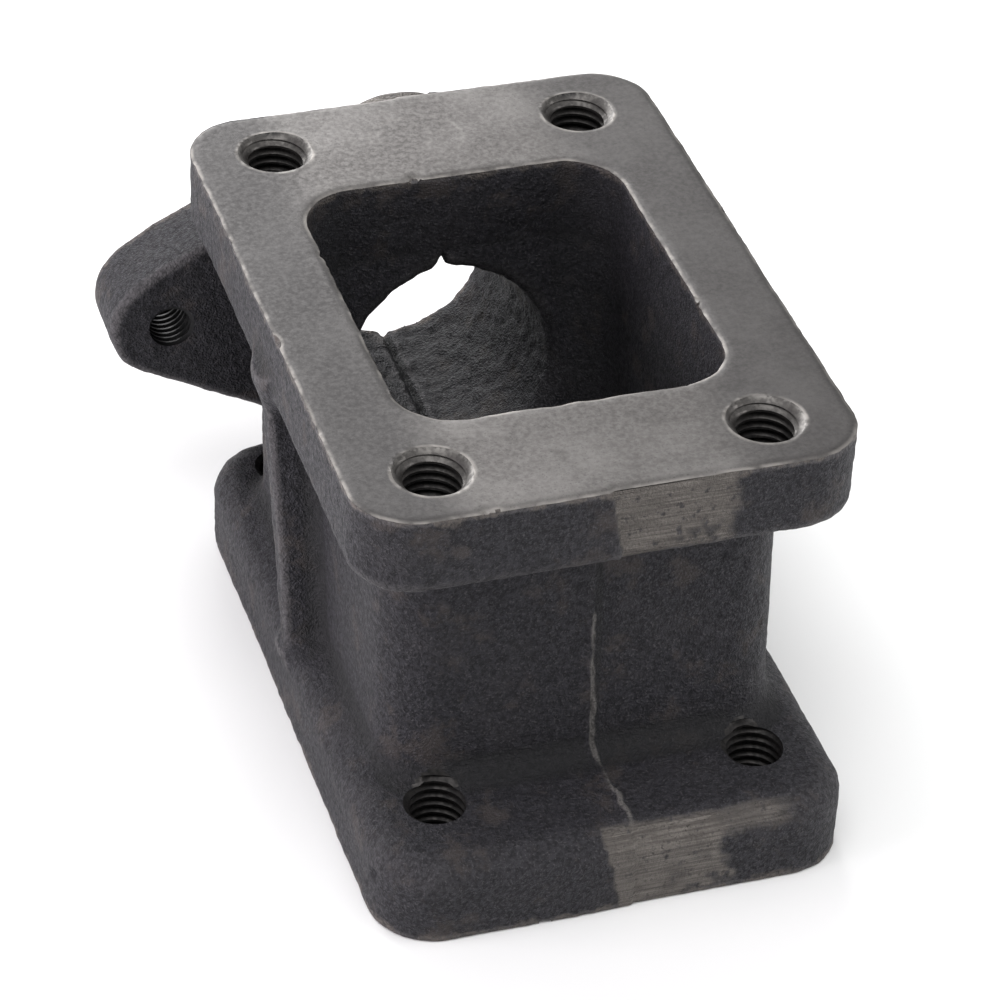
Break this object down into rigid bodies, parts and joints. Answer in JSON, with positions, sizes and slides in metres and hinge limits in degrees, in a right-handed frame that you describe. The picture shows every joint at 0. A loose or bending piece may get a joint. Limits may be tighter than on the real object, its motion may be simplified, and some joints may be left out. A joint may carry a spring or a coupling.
{
  "type": "exhaust manifold adapter",
  "caption": "Cast-iron exhaust manifold adapter: ported rectangular gas flanges joined by a leaning box duct, with a round side branch that ends in a diamond-shaped bolt flange.",
  "frame": {"origin": "middle of the whole part's footprint, on the plane of the manifold flange's machined face", "axes": "+Z from the manifold flange to the turbine flange, +Y out of the wastegate branch, +X across the flanges' short side"},
  "size_m": [0.0996, 0.1248, 0.0685],
  "materials": {
    "cast_skin": "as-cast sand skin, near black, rough",
    "machined_iron": "face-milled grey iron, dull satin"
  },
  "bodies": {
    "root": {"turbine_flange": "machined_iron", "manifold_flange": "cast_skin", "duct_front_wall": "cast_skin", "duct_back_wall": "cast_skin", "duct_left_wall": "cast_skin", "duct_right_wall": "cast_skin", "wastegate_neck": "cast_skin", "wastegate_flange": "cast_skin", "left_rib": "cast_skin", "right_rib": "cast_skin"}
  },
  "joints": []
}
